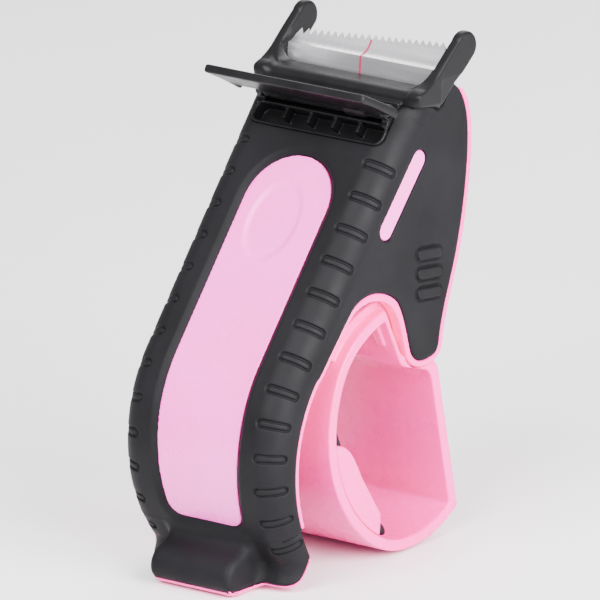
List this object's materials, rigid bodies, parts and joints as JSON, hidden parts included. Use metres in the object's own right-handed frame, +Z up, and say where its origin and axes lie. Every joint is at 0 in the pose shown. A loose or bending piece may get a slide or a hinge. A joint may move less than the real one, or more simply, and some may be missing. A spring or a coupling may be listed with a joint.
{
  "type": "tape dispenser",
  "caption": "Palm-grip dispenser for packaging tape: a curved clear shell with a rubber skin, a finger loop that carries the roll, a wiper flap and a toothed blade.",
  "frame": {"origin": "centre of the bounding box in X and Y, on the surface that the toe and the hub stand on", "axes": "+X to the closed side with the clear slot, -Y to the front face, +Z up"},
  "size_m": [0.06, 0.097, 0.1421],
  "materials": {
    "clear_shell": "gloss",
    "clear_window": "gloss",
    "soft_rubber": "soft matt",
    "black_plastic": "satin",
    "blade_steel": "bright",
    "zinc_steel": "satin",
    "white_plastic": "satin"
  },
  "bodies": {
    "housing": {"front_shell": "clear_shell", "near_side_wall": "clear_shell", "far_side_wall": "clear_shell", "rear_wall": "clear_shell", "hub_loop": "clear_shell", "lever_cap_near": "clear_shell", "lever_cap_far": "clear_shell", "front_window": "clear_window", "near_slot_lens": "clear_window", "far_slot_lens": "clear_window", "front_grip": "soft_rubber", "near_side_cover": "soft_rubber", "far_side_cover": "soft_rubber", "foot_bumper": "soft_rubber", "rib_tray": "black_plastic", "blade_frame": "black_plastic", "blade": "blade_steel", "flap_pin": "zinc_steel", "flap_spring": "zinc_steel", "blade_screw_far": "zinc_steel", "blade_screw_near": "zinc_steel", "frame_screw_near": "zinc_steel", "frame_screw_far": "zinc_steel", "roller_axle": "zinc_steel", "lever_pin": "zinc_steel", "lever_spring": "zinc_steel", "hub_screw_upper": "zinc_steel", "hub_screw_lower": "zinc_steel", "roller_bush_near": "white_plastic", "roller_bush_far": "white_plastic"},
    "flap": {"wiper_flap": "black_plastic"},
    "roller": {"guide_roller": "white_plastic"},
    "lever": {"brake_lever": "black_plastic", "brake_shoe": "soft_rubber"},
    "catch_upper": {"roll_catch_upper": "clear_shell"},
    "catch_lower": {"roll_catch_lower": "clear_shell"}
  },
  "joints": [
    {"name": "flap_hinge", "type": "hinge", "parent": "housing", "child": "flap", "pos_m": [0, 0.01799, 0.12438], "axis": [1, 0, 0], "range_deg": [-12, 46], "stiffness_Nm_per_rad": 0.01},
    {"name": "roller_spin", "type": "hinge", "parent": "housing", "child": "roller", "pos_m": [0, 0.03178, 0.11287], "axis": [1, 0, 0], "continuous": true},
    {"name": "lever_squeeze", "type": "hinge", "parent": "housing", "child": "lever", "pos_m": [0, -0.00031, 0.01183], "axis": [1, 0, 0], "range_deg": [0, 3], "stiffness_Nm_per_rad": 0.4, "springref_deg": -5.73},
    {"name": "catch_upper_flex", "type": "hinge", "parent": "housing", "child": "catch_upper", "pos_m": [-0.0132, -0.00451, 0.06367], "axis": [0, -0.8261, -0.5635], "range_deg": [0, 12], "stiffness_Nm_per_rad": 0.5, "springref_deg": -2.86},
    {"name": "catch_lower_flex", "type": "hinge", "parent": "housing", "child": "catch_lower", "pos_m": [-0.0132, 0.02891, 0.00648], "axis": [0, 0.8965, 0.4431], "range_deg": [0, 12], "stiffness_Nm_per_rad": 0.5, "springref_deg": -2.86}
  ]
}
